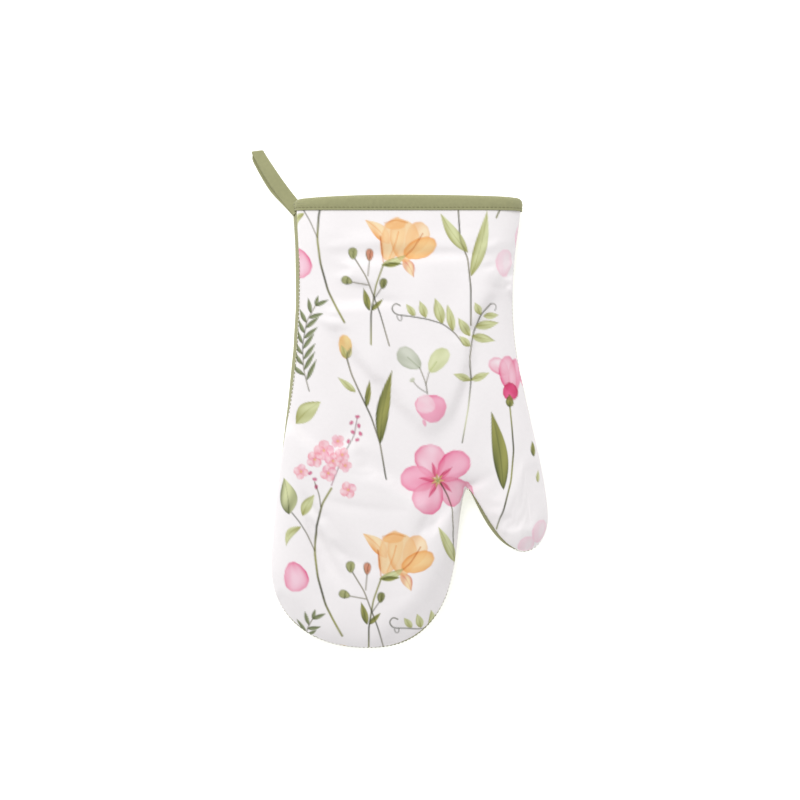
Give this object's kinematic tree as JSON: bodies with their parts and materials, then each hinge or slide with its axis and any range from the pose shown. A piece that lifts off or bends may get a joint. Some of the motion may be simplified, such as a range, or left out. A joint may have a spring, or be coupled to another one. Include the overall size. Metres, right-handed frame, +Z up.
{
  "type": "oven mitt",
  "caption": "Padded oven mitt with a printed front, a plain back, a bound cuff and a hanging loop; the thumb, the finger end and the loop bend.",
  "frame": {"origin": "the middle of the bounding box, on the underside of the plain back panel", "axes": "+X towards the thumb, +Y from the fingertips towards the cuff, +Z up out of the printed face"},
  "size_m": [0.1986, 0.3306, 0.03],
  "materials": {
    "printed_cotton": "matte printed cotton",
    "green_cotton": "matte plain cotton",
    "wadding": "matte loose fibre",
    "lining": "matte plain cotton",
    "green_thread": "matte sewing thread"
  },
  "bodies": {
    "palm": {"palm_front_panel": "printed_cotton", "palm_back_panel": "green_cotton", "palm_front_wadding": "wadding", "palm_back_wadding": "wadding", "palm_front_lining": "lining", "palm_back_lining": "lining", "cuff_binding": "green_cotton", "binding_topstitch_outer": "green_thread", "binding_topstitch_inner": "green_thread", "palm_left_seam_thread": "green_thread", "crotch_seam_thread": "green_thread", "palm_right_seam_thread": "green_thread", "loop_bar_tack": "green_thread"},
    "fingers": {"fingers_front_panel": "printed_cotton", "fingers_back_panel": "green_cotton", "fingers_front_wadding": "wadding", "fingers_back_wadding": "wadding", "fingers_front_lining": "lining", "fingers_back_lining": "lining", "fingers_seam_thread": "green_thread"},
    "thumb": {"thumb_front_panel": "printed_cotton", "thumb_back_panel": "green_cotton", "thumb_front_wadding": "wadding", "thumb_back_wadding": "wadding", "thumb_front_lining": "lining", "thumb_back_lining": "lining", "thumb_seam_thread": "green_thread"},
    "loop": {"hanging_loop": "green_cotton"}
  },
  "joints": [
    {"name": "finger_fold", "type": "hinge", "parent": "palm", "child": "fingers", "pos_m": [0, -0.08557, 0.015], "axis": [-1, 0, 0], "range_deg": [-80, 80], "stiffness_Nm_per_rad": 0.12},
    {"name": "thumb_fold", "type": "hinge", "parent": "palm", "child": "thumb", "pos_m": [0.05871, -0.06579, 0.015], "axis": [-0.4147, -0.91, 0], "range_deg": [-60, 60], "stiffness_Nm_per_rad": 0.05},
    {"name": "loop_swing", "type": "hinge", "parent": "palm", "child": "loop", "pos_m": [-0.07244, 0.12843, 0.015], "axis": [0, 1, 0], "range_deg": [-70, 90], "stiffness_Nm_per_rad": 0.006}
  ]
}
